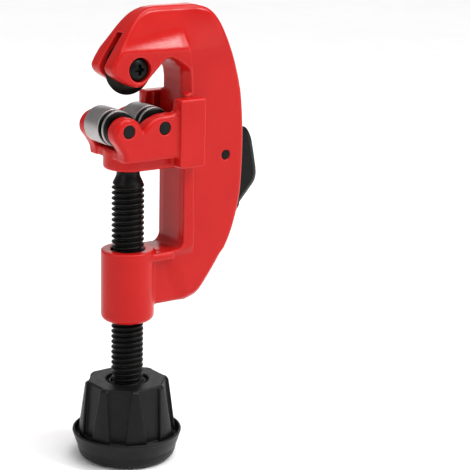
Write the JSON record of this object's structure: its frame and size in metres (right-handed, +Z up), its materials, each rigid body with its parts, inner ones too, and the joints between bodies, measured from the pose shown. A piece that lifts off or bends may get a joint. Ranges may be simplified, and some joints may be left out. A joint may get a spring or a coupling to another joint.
{
  "type": "pipe cutter",
  "caption": "C-frame tube cutter with a screw-fed two-roller carriage, cutting wheel, fold-out deburring blade and fluted knob.",
  "frame": {"origin": "centre of the knob's flat base, on the feed screw's axis", "axes": "+Z up the feed screw from the knob to the cutting wheel, +X from the feed screw to the spine, Y along the wheel and roller axles"},
  "size_m": [0.0694, 0.0362, 0.1496],
  "materials": {
    "red_paint": "gloss red paint on a die casting",
    "black_oxide": "black oxide, slightly oily",
    "black_plastic": "semi-gloss black moulding",
    "satin_steel": "turned satin steel",
    "tool_steel": "dark hardened steel with a ground edge",
    "bright_steel": "zinc-plated steel"
  },
  "bodies": {
    "frame": {"frame": "red_paint", "wheel_screw": "black_oxide", "wheel_lock_washer": "bright_steel", "reamer_pin": "black_oxide", "reamer_spring_washer": "bright_steel"},
    "cutting_wheel": {"cutter_wheel": "tool_steel"},
    "reamer": {"reamer_blade": "black_oxide"},
    "carriage": {"carriage": "red_paint", "front_roller_pin": "black_oxide", "rear_roller_pin": "black_oxide", "thrust_washer": "bright_steel"},
    "front_roller": {"front_roller": "satin_steel"},
    "rear_roller": {"rear_roller": "satin_steel"},
    "feed_screw": {"feed_screw": "black_oxide", "retaining_clip": "bright_steel", "knob": "black_plastic", "knob_washer": "bright_steel", "knob_nut": "bright_steel"},
    "end_cap": {"end_cap": "black_plastic", "spare_wheel": "tool_steel"}
  },
  "joints": [
    {"name": "wheel_spin", "type": "hinge", "parent": "frame", "child": "cutting_wheel", "pos_m": [0, 0, 0.1305], "axis": [0, 1, 0], "continuous": true},
    {"name": "reamer_fold", "type": "hinge", "parent": "frame", "child": "reamer", "pos_m": [0.03395, 0, 0.0999], "axis": [0, -1, 0], "range_deg": [0, 90]},
    {"name": "carriage_slide", "type": "slide", "parent": "frame", "child": "carriage", "axis": [0, 0, 1], "range_m": [-0.0263, 0.0048]},
    {"name": "front_roller_spin", "type": "hinge", "parent": "carriage", "child": "front_roller", "pos_m": [-0.00666, 0, 0.11215], "axis": [0, 1, 0], "continuous": true},
    {"name": "rear_roller_spin", "type": "hinge", "parent": "carriage", "child": "rear_roller", "pos_m": [0.00666, 0, 0.11215], "axis": [0, 1, 0], "continuous": true},
    {"name": "feed_screw_turn", "type": "hinge", "parent": "carriage", "child": "feed_screw", "pos_m": [0, 0, 0.06], "axis": [0, 0, 1], "range_deg": [-5270, 970]},
    {"name": "end_cap_pull", "type": "slide", "parent": "feed_screw", "child": "end_cap", "axis": [0, 0, -1], "range_m": [0, 0.012]}
  ],
  "couplings": [
    {"joint": "feed_screw_turn", "follows": "carriage_slide", "rad_per_m": 3490.7}
  ]
}
